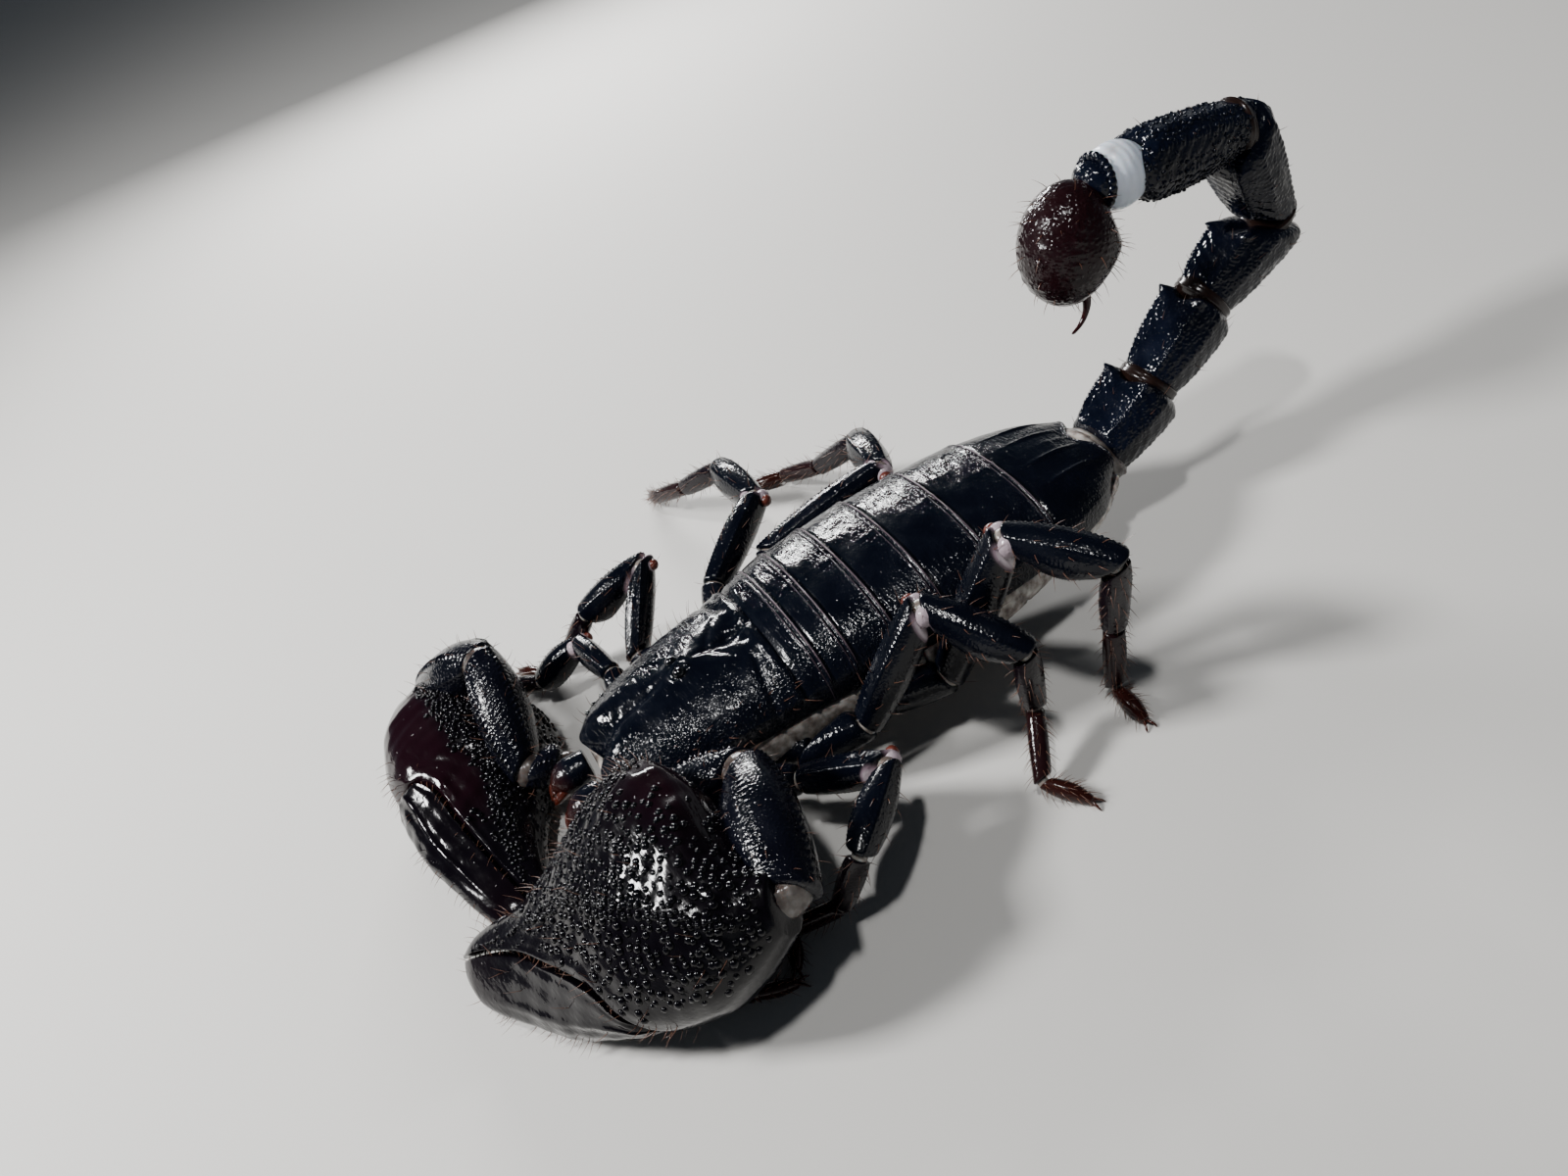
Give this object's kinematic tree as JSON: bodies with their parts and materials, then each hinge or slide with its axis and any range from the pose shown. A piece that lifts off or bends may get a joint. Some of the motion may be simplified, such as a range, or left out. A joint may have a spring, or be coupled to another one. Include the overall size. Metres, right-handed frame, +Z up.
{
  "type": "scorpion display model",
  "caption": "Life-size still model of a large black scorpion, standing with its claws folded in front and its tail arched over its back.",
  "frame": {"origin": "centre of the bounding box in plan, at the level of the feet", "axes": "+Z up, +X toward the animal's own left side, -Y toward its head and +Y toward its tail"},
  "size_m": [0.105, 0.1448, 0.0544],
  "materials": {
    "shell": "glossy, finely grained blue black cuticle",
    "claw_shell": "glossy, coarsely granulated dark red brown cuticle",
    "sting_shell": "semi-gloss dark red cuticle",
    "membrane": "soft pleated joint membrane",
    "comb": "satin pale brown",
    "lens": "polished black"
  },
  "bodies": {
    "root": {"carapace": "shell", "tergite_1": "shell", "tergite_2": "shell", "tergite_3": "shell", "tergite_4": "shell", "tergite_5": "shell", "tergite_6": "shell", "tergite_7": "shell", "coxae_and_sternum": "shell", "belly": "membrane", "eye_left": "lens", "chelicera_left": "shell", "comb_left": "comb", "eye_right": "lens", "chelicera_right": "shell", "comb_right": "comb", "tail_1": "shell", "tail_2": "shell", "tail_3": "shell", "tail_4": "shell", "tail_5": "shell", "vesicle": "sting_shell", "sting": "sting_shell", "leg_left_1_femur": "shell", "leg_left_1_patella": "shell", "leg_left_1_tarsus": "shell", "leg_left_2_femur": "shell", "leg_left_2_patella": "shell", "leg_left_2_tarsus": "shell", "leg_left_3_femur": "shell", "leg_left_3_patella": "shell", "leg_left_3_tarsus": "shell", "leg_left_4_femur": "shell", "leg_left_4_patella": "shell", "leg_left_4_tarsus": "shell", "leg_right_1_femur": "shell", "leg_right_1_patella": "shell", "leg_right_1_tarsus": "shell", "leg_right_2_femur": "shell", "leg_right_2_patella": "shell", "leg_right_2_tarsus": "shell", "leg_right_3_femur": "shell", "leg_right_3_patella": "shell", "leg_right_3_tarsus": "shell", "leg_right_4_femur": "shell", "leg_right_4_patella": "shell", "leg_right_4_tarsus": "shell", "pedipalp_left_trochanter": "shell", "pedipalp_left_femur": "shell", "pedipalp_left_patella": "shell", "pedipalp_left_palm": "claw_shell", "pedipalp_left_finger": "claw_shell", "pedipalp_right_trochanter": "shell", "pedipalp_right_femur": "shell", "pedipalp_right_patella": "shell", "pedipalp_right_palm": "claw_shell", "pedipalp_right_finger": "claw_shell"}
  },
  "joints": []
}
